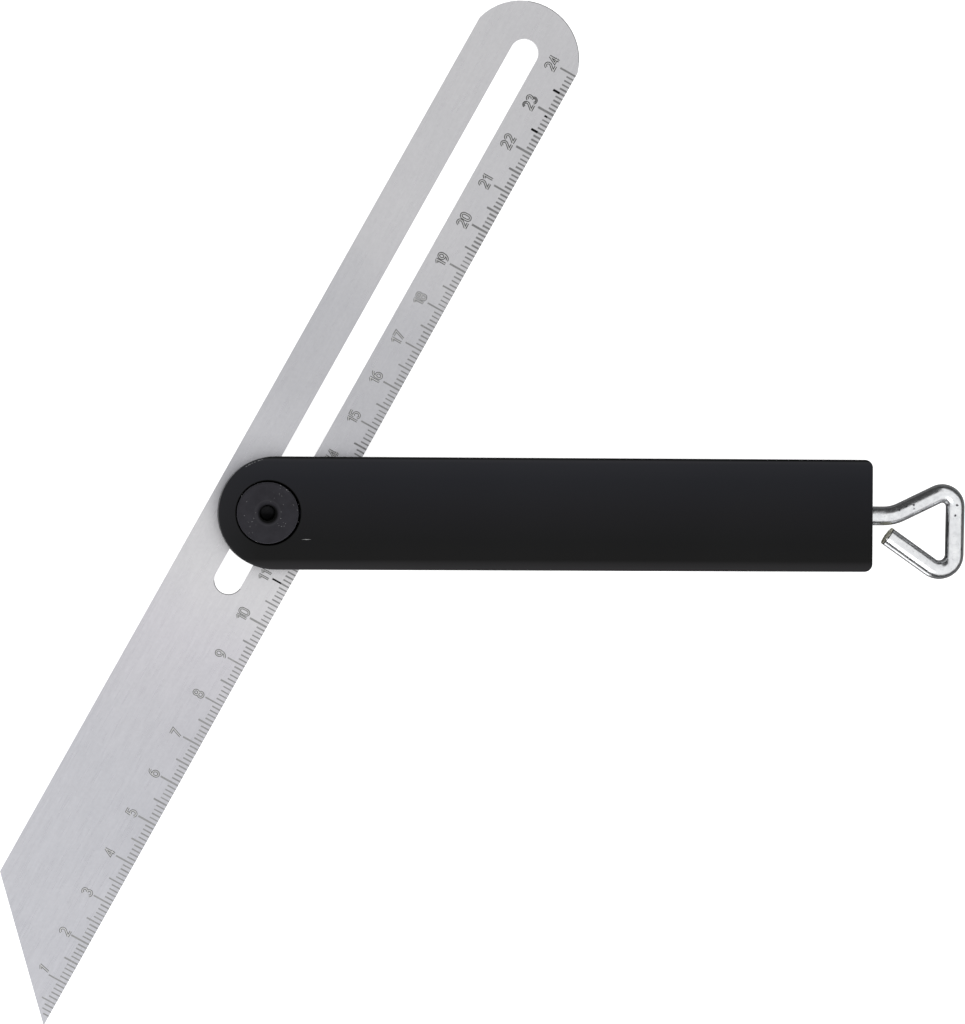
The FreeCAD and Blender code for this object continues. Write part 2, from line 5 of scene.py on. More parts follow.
import bmesh
import bpy
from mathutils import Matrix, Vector


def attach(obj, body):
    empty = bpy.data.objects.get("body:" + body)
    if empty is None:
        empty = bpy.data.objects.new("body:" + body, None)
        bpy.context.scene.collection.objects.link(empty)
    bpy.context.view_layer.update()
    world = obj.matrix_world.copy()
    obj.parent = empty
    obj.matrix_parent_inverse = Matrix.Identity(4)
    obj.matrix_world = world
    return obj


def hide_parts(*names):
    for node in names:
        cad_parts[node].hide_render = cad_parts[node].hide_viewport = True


# Adjustable set square. The scene is in metres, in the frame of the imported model: origin on the
# pivot axis, +X along the handle to its butt, +Z up from the handle's back. Numbers named below
# are in millimetres unless they say otherwise. Places on the blade are given as along, from the
# scale's zero, and across, from the blade's middle line.
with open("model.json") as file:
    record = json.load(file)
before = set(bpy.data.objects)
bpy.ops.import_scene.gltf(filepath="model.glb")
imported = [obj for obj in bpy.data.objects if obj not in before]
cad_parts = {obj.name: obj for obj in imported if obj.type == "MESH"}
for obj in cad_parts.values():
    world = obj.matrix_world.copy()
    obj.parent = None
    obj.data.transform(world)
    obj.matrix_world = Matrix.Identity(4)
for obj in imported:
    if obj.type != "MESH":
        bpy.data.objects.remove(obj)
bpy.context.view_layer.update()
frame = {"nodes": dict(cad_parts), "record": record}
nodes = frame["nodes"]

MM = 0.001
BLADE_ANGLE = math.radians(61)
SCALE_ZERO = -122.02
SCALE_SPAN = 250
BLADE_TOP = 8.25
HALF_BLADE = 12.5
HALF_HANDLE = 12.4
HANDLE_FACE = 18.0
DISC_FACE = 17.8
OPENING_X = 0.12
WIRE_RADIUS = 2.1
WIRE_END = (137.73, -4.46, 13.25)
WIRE_END_TURN = math.radians(144.9)
WIRE_END_COLLAR = -115.26
rng = random.Random(7)


# Materials

class Nodes:
    """Builds the nodes of one material or of the world."""

    def __init__(self, owner, output="OutputMaterial"):
        self.owner = owner
        owner.use_nodes = True
        self.tree = owner.node_tree
        self.tree.nodes.clear()
        self.output = self.add(output)

    def add(self, kind):
        return self.tree.nodes.new("ShaderNode" + kind)

    def link(self, source, target):
        self.tree.links.new(source, target)

    def feed(self, value, target):
        """Links a socket to the target, or writes a number or a colour there."""
        if isinstance(value, bpy.types.NodeSocket):
            self.link(value, target)
        elif isinstance(value, tuple):
            target.default_value = (*value, 1)
        else:
            target.default_value = value

    def coordinates(self, scale=(1, 1, 1), turn=0.0):
        """Object coordinates in millimetres, turned about Z and then scaled."""
        place = self.add("TexCoord")
        turned = self.add("Mapping")
        turned.inputs["Rotation"].default_value = (0, 0, turn)
        turned.inputs["Scale"].default_value = (1000, 1000, 1000)
        self.link(place.outputs["Object"], turned.inputs["Vector"])
        scaled = self.add("Mapping")
        scaled.inputs["Scale"].default_value = scale
        self.link(turned.outputs["Vector"], scaled.inputs["Vector"])
        return scaled.outputs["Vector"]

    def coordinate(self, axis, turn=0.0):
        """One of the object coordinates in millimetres, after a turn about Z."""
        split = self.add("SeparateXYZ")
        self.link(self.coordinates(turn=turn), split.inputs["Vector"])
        return split.outputs[axis]

    def from_axis(self, x=0.0, y=0.0):
        """Distance in millimetres from an upright axis."""
        flat = self.add("CombineXYZ")
        self.link(self.math("SUBTRACT", self.coordinate("X"), x), flat.inputs["X"])
        self.link(self.math("SUBTRACT", self.coordinate("Y"), y), flat.inputs["Y"])
        length = self.add("VectorMath")
        length.operation = "LENGTH"
        self.link(flat.outputs["Vector"], length.inputs[0])
        return length.outputs["Value"]

    def noise(self, vector, scale, detail, rough=0.5):
        node = self.add("TexNoise")
        node.inputs["Scale"].default_value = scale
        node.inputs["Detail"].default_value = detail
        node.inputs["Roughness"].default_value = rough
        self.link(vector, node.inputs["Vector"])
        return node.outputs["Fac"]

    def cells(self, vector, scale):
        """Distance to the nearest of points strewn through space."""
        node = self.add("TexVoronoi")
        node.inputs["Scale"].default_value = scale
        self.link(vector, node.inputs["Vector"])
        return node.outputs["Distance"]

    def ramp(self, factor, stops):
        """Colour from a factor; stops are (position, grey or colour)."""
        node = self.add("ValToRGB")
        elements = node.color_ramp.elements
        while len(elements) < len(stops):
            elements.new(0.5)
        for element, (position, colour) in zip(elements, stops):
            element.position = position
            shade = colour if isinstance(colour, tuple) else (colour,) * 3
            element.color = (*shade, 1)
        self.link(factor, node.inputs["Fac"])
        return node.outputs["Color"]

    def remap(self, value, low, high, to_low, to_high):
        node = self.add("MapRange")
        for name, number in (("From Min", low), ("From Max", high),
                             ("To Min", to_low), ("To Max", to_high)):
            node.inputs[name].default_value = number
        self.link(value, node.inputs["Value"])
        return node.outputs["Result"]

    def mix(self, factor, first, second, blend="MIX"):
        """Mixes two colours; each input is a socket or a plain value."""
        node = self.add("Mix")
        node.data_type = "RGBA"
        node.blend_type = blend
        # The Mix node's sockets for colours are 0, 6 and 7, and its colour output is 2.
        for index, value in ((0, factor), (6, first), (7, second)):
            self.feed(value, node.inputs[index])
        return node.outputs[2]

    def math(self, operation, first, second):
        node = self.add("Math")
        node.operation = operation
        self.feed(first, node.inputs[0])
        self.feed(second, node.inputs[1])
        return node.outputs[0]

    def bump(self, height, strength, distance, under=None):
        """A relief of the given depth in metres, on top of another one if given."""
        node = self.add("Bump")
        node.inputs["Strength"].default_value = strength
        node.inputs["Distance"].default_value = distance
        self.link(height, node.inputs["Height"])
        if under is not None:
            self.link(under, node.inputs["Normal"])
        return node.outputs["Normal"]

    def surface(self, colour, roughness, normal, metallic=0.0, specular=0.5):
        """Ends the material with a Principled shader."""
        shader = self.add("BsdfPrincipled")
        shader.inputs["Metallic"].default_value = metallic
        shader.inputs["Specular IOR Level"].default_value = specular
        self.feed(colour, shader.inputs["Base Color"])
        self.feed(roughness, shader.inputs["Roughness"])
        self.link(normal, shader.inputs["Normal"])
        self.link(shader.outputs["BSDF"], self.output.inputs["Surface"])


def new_material(name):
    return Nodes(bpy.data.materials.new(name))


def brushed_blade():
    """Ground stainless sheet: faint strokes and cloudy patches, and darker and lighter stretches
    along it with painted light beside the handle's nose.
    """
    m = new_material("blade_steel")
    even = m.coordinates()
    strokes = m.noise(m.coordinates(scale=(0.05, 1, 1), turn=-BLADE_ANGLE), 3.2, 4, 0.6)
    clouds = m.noise(even, 0.05, 3, 0.6)
    grain = m.noise(even, 1.3, 4, 0.65)
    wide = m.noise(even, 0.018, 2)
    base = m.ramp(clouds, [(0.3, (0.563, 0.566, 0.621)), (0.7, (0.632, 0.627, 0.676))])
    patches = m.ramp(wide, [(0.35, (0.53, 0.53, 0.56)), (0.65, (0.69, 0.69, 0.71))])
    base = m.mix(0.35, base, patches)
    base = m.mix(0.30, base, m.ramp(strokes, [(0.3, 0.54), (0.7, 0.71)]))
    base = m.mix(0.25, base, m.ramp(grain, [(0.3, 0.55), (0.7, 0.71)]))
    # Painted light along the blade: a painted highlight beside the lower side of the handle's
    # nose, against the shade the handle casts there, and a painted shadow just past it beside the
    # nose's upper side; elsewhere darker and lighter stretches.
    run = m.remap(m.coordinate("X", -BLADE_ANGLE), SCALE_ZERO, SCALE_ZERO + SCALE_SPAN, 0.0, 1.0)
    painted_light_along_blade = m.ramp(run, [
        (0.22, (0.839, 0.841, 0.861)), (0.30, (0.878, 0.870, 0.887)),
        (0.36, (0.939, 0.922, 0.939)), (0.42, (0.996, 0.988, 0.978)),
        (0.46, (0.996, 0.988, 0.978)), (0.505, (0.740, 0.740, 0.750)),
        (0.55, (0.843, 0.843, 0.852)), (0.60, (0.770, 0.770, 0.778)),
        (0.68, (0.770, 0.770, 0.778)), (0.735, (0.826, 0.822, 0.822)),
        (0.80, (0.861, 0.857, 0.852)), (0.98, (0.870, 0.865, 0.857))])
    base = m.mix(1.0, base, painted_light_along_blade, "MULTIPLY")
    rough = m.remap(strokes, 0.3, 0.7, 0.26, 0.36)
    height = m.math("ADD", strokes, m.math("MULTIPLY", grain, 0.5))
    m.surface(base, rough, m.bump(height, 0.10, 0.00002), metallic=1.0)
    return m.owner


def etched(name, shade):
    """Etched mark: dull grey, darker and lighter from place to place."""
    m = new_material(name)
    patches = m.noise(m.coordinates(), 0.45, 3, 0.6)
    fine = m.noise(m.coordinates(), 4.0, 3, 0.6)
    colour = m.mix(0.4, m.ramp(patches, [(0.3, shade * 0.85), (0.7, shade * 1.15)]),
                   m.ramp(fine, [(0.3, shade * 0.7), (0.7, shade * 1.3)]))
    m.surface(colour, 0.6, m.bump(fine, 0.2, 0.00002), metallic=1.0)
    return m.owner


def moulded_plastic():
    """Black satin plastic with a fine spark-eroded grain, painted light across it and at the nose,
    and painted shade, dead black, inside the disc's opening.
    """
    m = new_material("handle_plastic")
    place = m.coordinates()
    grain = m.noise(place, 9.0, 4, 0.7)
    clouds = m.noise(place, 0.03, 2)
    across = m.remap(m.coordinate("Y"), -HALF_HANDLE, HALF_HANDLE, 0.0, 1.0)
    # Painted light across the handle: a painted highlight along its lower (-Y) edge, lighter
    # towards its upper (+Y) side, and a painted dark reflection along the upper edge.
    colour = m.ramp(across, [
        (0.0, (0.0265, 0.0258, 0.0275)), (0.030, (0.0250, 0.0244, 0.0260)),
        (0.062, (0.0180, 0.0176, 0.0186)), (0.092, (0.0048, 0.0048, 0.0048)),
        (0.25, (0.0040, 0.0042, 0.0046)), (0.50, (0.0078, 0.0076, 0.0096)),
        (0.80, (0.0122, 0.0130, 0.0172)), (0.95, (0.0185, 0.0192, 0.0242)),
        (0.975, (0.0265, 0.0270, 0.0315)), (0.986, (0.0008, 0.0008, 0.0010))])
    colour = m.mix(0.2, colour, m.ramp(clouds, [(0.3, 0.006), (0.7, 0.012)]))
    # Painted highlight: lighter towards the nose's rounded end.
    nose = m.remap(m.coordinate("X"), -10.5, -2.0, 0.45, 0.0)
    colour = m.mix(nose, colour, (0.0185, 0.0188, 0.0215))
    # Painted shade: dead black inside the disc's opening.
    outside = m.remap(m.from_axis(OPENING_X), 7.23, 7.31, 0.0, 1.0)
    colour = m.mix(outside, (0.0004, 0.0004, 0.0005), colour)
    rough = m.remap(grain, 0.3, 0.7, 0.42, 0.52)
    m.surface(colour, rough, m.bump(grain, 0.12, 0.00002), specular=0.11)
    return m.owner


def black_oxide():
    """Blackened steel: light specks, a turned ring, a painted highlight on the rim's rounding, and
    painted shade, dead black, in the eye and on the edge.
    """
    m = new_material("disc_steel")
    place = m.coordinates()
    clouds = m.noise(place, 0.35, 4, 0.6)
    base = m.ramp(clouds, [(0.3, (0.0190, 0.0182, 0.0225)), (0.7, (0.0285, 0.0275, 0.0335))])
    dots = m.ramp(m.cells(place, 1.6), [(0.08, 1.0), (0.17, 0.0)])
    where = m.ramp(m.noise(place, 0.55, 2), [(0.58, 0.0), (0.66, 1.0)])
    specks = m.mix(1.0, dots, where, "MULTIPLY")
    base = m.mix(specks, base, (0.20, 0.20, 0.21))
    radius = m.from_axis()
    turning = m.ramp(m.math("DIVIDE", radius, 7.0),
                     [(0.36, 0.0), (0.385, 1.0), (0.40, 1.0), (0.43, 0.0)])
    base = m.mix(m.math("MULTIPLY", turning, 0.5), base, (0.0370, 0.0365, 0.0410))
    # Painted highlight on the rim's rounding.
    painted_rim_highlight = m.remap(radius, 6.42, 6.70, 0.0, 1.0)
    base = m.mix(painted_rim_highlight, base, (0.078, 0.076, 0.088))
    # Painted shade: dead black over the stud's eye, reaching a little further right and down as
    # its shadow, and on the disc's side wall.
    beyond_eye = m.remap(m.from_axis(0.14, -0.25), 1.88, 2.38, 0.0, 1.0)
    before_edge = m.remap(radius, 6.735, 6.748, 1.0, 0.0)
    open_face = m.math("MULTIPLY", beyond_eye, before_edge)
    base = m.mix(open_face, (0.0004, 0.0004, 0.0005), base)
    fine = m.noise(place, 6.0, 4, 0.65)
    rough = m.remap(fine, 0.3, 0.7, 0.42, 0.55)
    m.surface(base, rough, m.bump(fine, 0.15, 0.00002), specular=0.12)
    return m.owner


def hammered_head():
    """Head of the stud: blackened, with painted light: grey towards +Y and near black towards -Y.
    """
    m = new_material("stud_head_steel")
    fine = m.noise(m.coordinates(), 2.4, 4, 0.6)
    # Painted light: the head grades from near black on its -Y side to grey on its +Y side.
    painted_light_on_head = m.ramp(m.remap(m.coordinate("Y"), -1.6, 1.6, 0.0, 1.0), [
        (0.20, (0.0002, 0.0002, 0.0003)), (0.40, (0.0018, 0.0018, 0.0020)),
        (0.50, (0.0050, 0.0050, 0.0056)), (0.66, (0.0085, 0.0086, 0.0094)),
        (0.85, (0.0120, 0.0122, 0.0130))])
    colour = m.mix(0.5, painted_light_on_head, m.ramp(fine, [(0.3, 0.55), (0.7, 1.45)]), "MULTIPLY")
    m.surface(colour, 0.5, m.bump(fine, 0.3, 0.00004), specular=0.02)
    return m.owner


def zinc_wire():
    """Bright zinc plating with pits and small dark marks."""
    m = new_material("key_steel")
    place = m.coordinates()
    soft = m.noise(place, 0.6, 4, 0.6)
    pits = m.noise(place, 2.6, 5, 0.7)
    base = m.ramp(soft, [(0.3, (0.70, 0.71, 0.73)), (0.7, (0.86, 0.87, 0.88))])
    marks = m.ramp(pits, [(0.30, 1.0), (0.37, 0.0)])
    base = m.mix(marks, base, (0.16, 0.16, 0.17))
    ragged = m.math("ADD", m.cells(place, 0.42), m.math("MULTIPLY", pits, 0.25))
    specks = m.ramp(ragged, [(0.20, 1.0), (0.26, 0.0)])
    base = m.mix(specks, base, (0.10, 0.10, 0.11))
    rough = m.remap(pits, 0.3, 0.7, 0.16, 0.27)
    m.surface(base, rough, m.bump(soft, 0.30, 0.00015, m.bump(pits, 0.35, 0.00005)), metallic=1.0)
    return m.owner


def turned_steel(name, shade, rough_low=0.25, painted_shade_end=None):
    """Plain machined metal with fine grain; the end below a given x is painted near black, as
    shade where it shows in the gap round the disc.
    """
    m = new_material(name)
    grain = m.noise(m.coordinates(), 3.0, 4, 0.6)
    tone = m.ramp(grain, [(0.3, tuple(c * 0.85 for c in shade)),
                          (0.7, tuple(min(1.0, c * 1.12) for c in shade))])
    if painted_shade_end is not None:
        # Painted shade: the end below the given x is near black.
        bright = m.remap(m.coordinate("X"), painted_shade_end, painted_shade_end + 1.5, 0.0, 1.0)
        tone = m.mix(bright, (0.012, 0.012, 0.016), tone)
    rough = m.remap(grain, 0.3, 0.7, rough_low, rough_low + 0.15)
    m.surface(tone, rough, m.bump(grain, 0.15, 0.00002), metallic=1.0)
    return m.owner


def sheared_steel():
    """Torn bare steel with dull yellow streaks whose light parts are raised nearly to white as
    painted light; the collar behind the face is nearly black.
    """
    m = new_material("sheared_steel")
    grain = m.noise(m.coordinates(), 2.2, 4, 0.65)
    fine = m.noise(m.coordinates(), 7.0, 3, 0.6)
    # Painted light: the light stops are raised nearly to white against the shade of the handle's
    # butt close by.
    tone = m.ramp(grain, [(0.36, (0.24, 0.22, 0.12)), (0.46, (0.90, 0.88, 0.66)),
                          (0.60, (1.0, 0.99, 0.93))])
    face = m.remap(m.coordinate("X", -WIRE_END_TURN),
                   WIRE_END_COLLAR, WIRE_END_COLLAR + 0.10, 0.0, 1.0)
    tone = m.mix(face, (0.030, 0.028, 0.022), tone)
    m.surface(tone, 0.55, m.bump(fine, 0.5, 0.00005), metallic=0.1)
    return m.owner


materials = {
    "handle_plastic": moulded_plastic(),
    "blade_steel": brushed_blade(),
    "disc_steel": black_oxide(),
    "key_steel": zinc_wire(),
    "plunger_steel": turned_steel("plunger_steel", (0.45, 0.45, 0.46), painted_shade_end=8.5),
    "block_brass": turned_steel("block_brass", (0.70, 0.55, 0.28)),
    "screw_steel": turned_steel("screw_steel", (0.24, 0.24, 0.25), 0.35),
}
for subpart in frame["record"]["subparts"]:
    mesh = nodes[subpart["node"]].data
    mesh.materials.clear()
    mesh.materials.append(materials[subpart["material_slot"]])


# Shapes

def on_blade(along, across, z):
    """A point of the blade in the scene, at a height in millimetres."""
    x = SCALE_ZERO + along
    return Vector((
        x * math.cos(BLADE_ANGLE) - across * math.sin(BLADE_ANGLE),
        x * math.sin(BLADE_ANGLE) + across * math.cos(BLADE_ANGLE),
        z)) * MM


def new_piece(name, shape, material, body):
    """Makes a piece of a finished bmesh and lets it ride on a body."""
    bmesh.ops.recalc_face_normals(shape, faces=shape.faces)
    mesh = bpy.data.meshes.new(name)
    shape.to_mesh(mesh)
    shape.free()
    mesh.materials.append(material)
    piece = bpy.data.objects.new(name, mesh)
    bpy.context.scene.collection.objects.link(piece)
    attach(piece, body)
    return piece


def join_rings(shape, lower, upper):
    """Quads between two rings with as many corners."""
    for k in range(len(lower)):
        after = (k + 1) % len(lower)
        shape.faces.new((lower[k], lower[after], upper[after], upper[k]))


def prism(shape, bottom, top):
    """A closed prism between two outlines of points."""
    low = [shape.verts.new(point) for point in bottom]
    high = [shape.verts.new(point) for point in top]
    shape.faces.new(high)
    shape.faces.new(low[::-1])
    join_rings(shape, low, high)


def lathe(shape, centre, profile, sides):
    """Joined rings about an upright axis, one for each (radius, z) of the profile."""
    rings = []
    for radius, z in profile:
        rings.append([shape.verts.new((centre + Vector((
            radius * math.cos(2 * math.pi * k / sides),
            radius * math.sin(2 * math.pi * k / sides), z))) * MM) for k in range(sides)])
    for lower, upper in zip(rings, rings[1:]):
        join_rings(shape, lower, upper)
    return rings


# Scale on the blade. Its marks stand a few micrometres proud, so that they show at every angle.

GROOVE_LIFT = 0.006
GROOVE_SINK = 0.02
SLOT_END, SLOT_RADIUS = 105.02, 3.22
ROUND_END, ROUND_RADIUS = 237.37, 12.9


def bar(shape, along, half, low, high, lift):
    """A straight mark across the blade, between two distances from its graduated edge."""
    outline = [(along - half, low - HALF_BLADE), (along + half, low - HALF_BLADE),
               (along + half, high - HALF_BLADE), (along - half, high - HALF_BLADE)]
    prism(shape, [on_blade(a, c, BLADE_TOP - GROOVE_SINK) for a, c in outline],
          [on_blade(a, c, BLADE_TOP + lift) for a, c in outline])


def ribbon(shape, points, closed, half, lift):
    """A stroke of even width along a line of points on the blade, mitred at its corners."""
    low, high = BLADE_TOP - GROOVE_SINK, BLADE_TOP + lift
    rows = []
    count = len(points)
    for index, point in enumerate(points):
        before = points[index - 1] if closed or index else None
        after = points[(index + 1) % count] if closed or index + 1 < count else None
        runs = [(Vector(b) - Vector(a)).normalized()
                for a, b in ((before, point), (point, after)) if a and b]
        mean = (runs[0] + runs[-1]).normalized()
        side = Vector((mean.y, -mean.x)) * half / max(0.6, mean.dot(runs[0]))
        along, across = point
        rows.append([
            shape.verts.new(on_blade(along + sign * side.x, across + sign * side.y, z))
            for sign, z in ((1, low), (1, high), (-1, high), (-1, low))])
    for index in range(count if closed else count - 1):
        join_rings(shape, rows[index], rows[(index + 1) % count])
    if not closed:
        shape.faces.new(rows[0])
        shape.faces.new(rows[-1][::-1])


# For every tenth, fifth and other millimetre: length at the scale's zero, how much of it is lost
# on the way to the last mark, and half width.
TICKS = ((10, 4.5, 0.6, 0.195), (5, 3.4, 0.5, 0.180), (1, 2.15, 0.4, 0.165))
TICK_GAP = 0.03
LAST_TICK = 240
FIRST_TICK = 2
FIRST_TICK_LENGTH = 1.4
BROAD_TICKS = 193
BROADER = 0.04


def scale_ticks(name, millimetres, material):
    """Marks at the graduated edge, a little longer and finer towards the tip."""
    shape = bmesh.new()
    for millimetre in millimetres:
        length, lost, half = next(kind[1:] for kind in TICKS if millimetre % kind[0] == 0)
        length -= lost * (millimetre / LAST_TICK)
        half = (half + (BROADER if millimetre >= BROAD_TICKS else 0)) * rng.uniform(0.85, 1.15)
        if millimetre == FIRST_TICK:
            length = FIRST_TICK_LENGTH
        bar(shape, millimetre, half, TICK_GAP, TICK_GAP + length, GROOVE_LIFT)
    new_piece(name, shape, material, "blade")


def arc(cx, cy, rx, ry, first, last, steps=12):
    """Points of an elliptic arc between two angles in degrees."""
    return [(cx + rx * math.cos(math.radians(first + (last - first) * k / steps)),
             cy + ry * math.sin(math.radians(first + (last - first) * k / steps)))
            for k in range(steps + 1)]


def oval(cx, cy, rx, ry):
    return arc(cx, cy, rx, ry, 0, 360, 18)[:-1]


# Strokes of the digits in a field 0.6 wide and 1 high; True marks a closed stroke.
DIGITS = {
    "0": [(True, arc(0.29, 0.69, 0.26, 0.31, 0, 180, 8)
           + arc(0.29, 0.31, 0.26, 0.31, 180, 360, 8))],
    "1": [(False, [(0.04, 0.76), (0.36, 0.97)]), (False, [(0.36, 1.06), (0.36, -0.03)])],
    "2": [(False, arc(0.30, 0.71, 0.25, 0.28, 165, -38) + [(0.05, 0.02)]),
          (False, [(-0.02, 0.0), (0.60, 0.0)])],
    "3": [(False, arc(0.28, 0.745, 0.24, 0.245, 160, -90)),
          (False, arc(0.28, 0.255, 0.27, 0.255, 90, -160))],
    "4": [(False, [(0.62, 0.26), (0.02, 0.26), (0.42, 1.0)]),
          (False, [(0.44, 1.05), (0.44, -0.03)])],
    "5": [(False, [(0.55, 1.0), (0.12, 1.0), (0.07, 0.50)]),
          (False, arc(0.28, 0.32, 0.27, 0.31, 140, -150))],
    "6": [(True, oval(0.29, 0.31, 0.26, 0.31)), (False, arc(0.42, 0.38, 0.39, 0.62, 172, 82, 7))],
    "7": [(False, [(0.0, 1.0), (0.56, 1.0), (0.20, -0.03)])],
    "8": [(True, oval(0.29, 0.75, 0.22, 0.25)), (True, oval(0.29, 0.26, 0.26, 0.27))],
    "9": [(True, oval(0.29, 0.69, 0.26, 0.31)), (False, arc(0.16, 0.62, 0.39, 0.62, -8, -98, 7))],
}
DIGIT_HEIGHT = 2.2
DIGIT_FOOT = 4.95
DIGIT_WIDTH = 0.62 * DIGIT_HEIGHT
DIGIT_STEP = 1.70
STEP_OF_ONE = 1.32
LAYER_STEP = 0.002
# The number 1, beside the slanted tip, is shifted up the blade and leans.
FIRST_SHIFT = 0.7
FIRST_LEAN = 0.24


def digit_points(stroke, left, lean=0.0):
    """Places on the blade of a digit's stroke."""
    return [(left + (x + lean * (y - 0.5)) * DIGIT_HEIGHT,
             -HALF_BLADE + DIGIT_FOOT + y * DIGIT_HEIGHT) for x, y in stroke]


def scale_digits(name, numbers, half, lift, material):
    """Centimetre numbers. Each stroke of a digit lies a little higher than the one before."""
    shape = bmesh.new()
    for number in numbers:
        text = str(number)
        steps = [STEP_OF_ONE if digit == "1" else DIGIT_STEP for digit in text]
        left = number * 10 - (sum(steps[:-1]) + DIGIT_WIDTH) / 2
        lean = 0.0
        if number == 1:
            left += FIRST_SHIFT
            lean = FIRST_LEAN
        for digit, step in zip(text, steps):
            for layer, (closed, stroke) in enumerate(DIGITS[digit]):
                ribbon(shape, digit_points(stroke, left, lean), closed, half,
                       lift + LAYER_STEP * layer)
            left += step
    new_piece(name, shape, material, "blade")


def inked_ticks():
    """Parts of four marks and of the number 23 that still hold black ink."""
    shape = bmesh.new()
    for millimetre, low, high, half in ((110, 2.0, 4.15, 0.20), (225, 1.3, 2.9, 0.27),
                                        (229, 1.1, 1.8, 0.22), (235, 1.3, 2.9, 0.27)):
        bar(shape, millimetre, half, low, high, GROOVE_LIFT * 2)
    for left, stroke in ((228.47, arc(0.30, 0.71, 0.25, 0.28, 165, 20)),
                         (230.17, arc(0.28, 0.255, 0.27, 0.255, 60, -130))):
        ribbon(shape, digit_points(stroke, left), False, 0.06, GROOVE_LIFT * 3)
    new_piece("scale_ticks_inked", shape, etched("ink_black", 0.012),
              "blade")


def edge_lines():
    """Thin darker lines along the slot's lower end and along the round end."""
    shape = bmesh.new()
    ribbon(shape, arc(SLOT_END, 0, SLOT_RADIUS, SLOT_RADIUS, 120, 262, 20), False, 0.075,
           GROOVE_LIFT)
    ribbon(shape, arc(ROUND_END, 0, ROUND_RADIUS, ROUND_RADIUS, -64, 22, 30), False, 0.06,
           GROOVE_LIFT)
    new_piece("edge_lines", shape, etched("edge_grey", 0.12), "blade")


scale_ticks("scale_ticks_low", range(FIRST_TICK, 116), etched("tick_light", 0.30))
scale_ticks("scale_ticks_middle", range(116, BROAD_TICKS), etched("tick_grey", 0.27))
scale_ticks("scale_ticks_upper", range(BROAD_TICKS, LAST_TICK + 1), etched("tick_dark", 0.225))
inked_ticks()
scale_digits("scale_digits_low", range(1, 12), 0.265, GROOVE_LIFT, etched("digit_grey", 0.135))
scale_digits("scale_digits_middle", range(12, 19), 0.26, GROOVE_LIFT, etched("digit_dark", 0.080))
scale_digits("scale_digits_upper", range(19, 25), 0.29, GROOVE_LIFT, etched("digit_black", 0.035))
scale_digits("scale_digit_cores", range(1, 25), 0.11, GROOVE_LIFT * 2, etched("digit_core", 0.54))
edge_lines()


# Shade ring at the foot of the disc's opening, and scratches, nicks and small details on the
# handle, the disc and the key

SHADE_RING_Z = 8.53
SHADE_RING_PROFILE = ((6.76, 0.0), (6.76, 0.12), (7.24, 0.12), (7.24, 0.0))
FLECK_SINK = 0.03
FLECK_LIFT = 0.006
NOSE_X = 1.6
NOSE_WEAR_RADIUS = 12.0

# Nicks of the disc: x, y, half length, half width and direction in degrees.
NICKS = (
    (2.75, 6.00, 0.16, 0.035, -24),
    (3.55, 5.52, 0.10, 0.035, -32),
    (4.12, 5.08, 0.20, 0.050, -40),
    (4.45, 4.75, 0.09, 0.035, -44),
    (2.50, 4.10, 0.28, 0.022, 80),
    (3.05, 3.70, 0.24, 0.020, 86),
    (3.45, 1.80, 0.08, 0.035, 30),
    (5.60, 1.78, 0.26, 0.022, 4),
    (6.48, 0.66, 0.12, 0.035, 92),
    (2.84, -1.18, 0.18, 0.045, -10),
    (3.90, -2.30, 0.12, 0.035, 70),
    (3.60, -2.85, 0.12, 0.030, 30),
    (3.05, -2.95, 0.14, 0.030, -10),
    (2.45, -2.75, 0.14, 0.030, -40),
    (2.25, -2.25, 0.12, 0.030, 70),
    (-3.02, -1.20, 0.12, 0.055, 60),
    (-3.42, -1.92, 0.14, 0.055, 50),
    (-3.90, -3.00, 0.16, 0.030, 50),
    (-4.25, -2.10, 0.08, 0.035, 20),
    (-5.72, 3.70, 0.16, 0.030, 58),
    (-4.60, 2.50, 0.12, 0.030, 10),
    (-4.05, -4.35, 0.10, 0.030, -40),
    (-2.60, 0.05, 0.08, 0.030, 15),
    (2.95, 0.25, 0.20, 0.020, 80),
)

# Rings of the stud's heads: radius, and height over the crown.
HEAD_PROFILE = ((1.60, -1.00), (1.60, -0.50), (1.52, -0.32), (1.30, -0.17), (0.95, -0.08),
                (0.50, -0.02))
HEAD_X, HEAD_Y = -0.12, 0.02
FRONT_CROWN, BACK_CROWN = 17.30, 0.70


def opening_lip():
    """A ring at the foot of the disc's opening, nearly all dead black: a dark piece put in as
    painted shade that closes the gap round the disc.
    """
    shape = bmesh.new()
    rings = lathe(shape, Vector((0, 0, SHADE_RING_Z)), SHADE_RING_PROFILE, 96)
    join_rings(shape, rings[-1], rings[0])
    new_piece("opening_lip", shape, materials["handle_plastic"],
              "handle")


def fleck(shape, x, y, z, half_length, half_width, turn):
    """A small lozenge that lies on a face at height z."""
    corners = []
    for along, across in ((-half_length, 0), (0, -half_width), (half_length, 0), (0, half_width)):
        corners.append((x + along * math.cos(turn) - across * math.sin(turn),
                        y + along * math.sin(turn) + across * math.cos(turn)))
    prism(shape, [Vector((a, b, z - FLECK_SINK)) * MM for a, b in corners],
          [Vector((a, b, z + FLECK_LIFT)) * MM for a, b in corners])


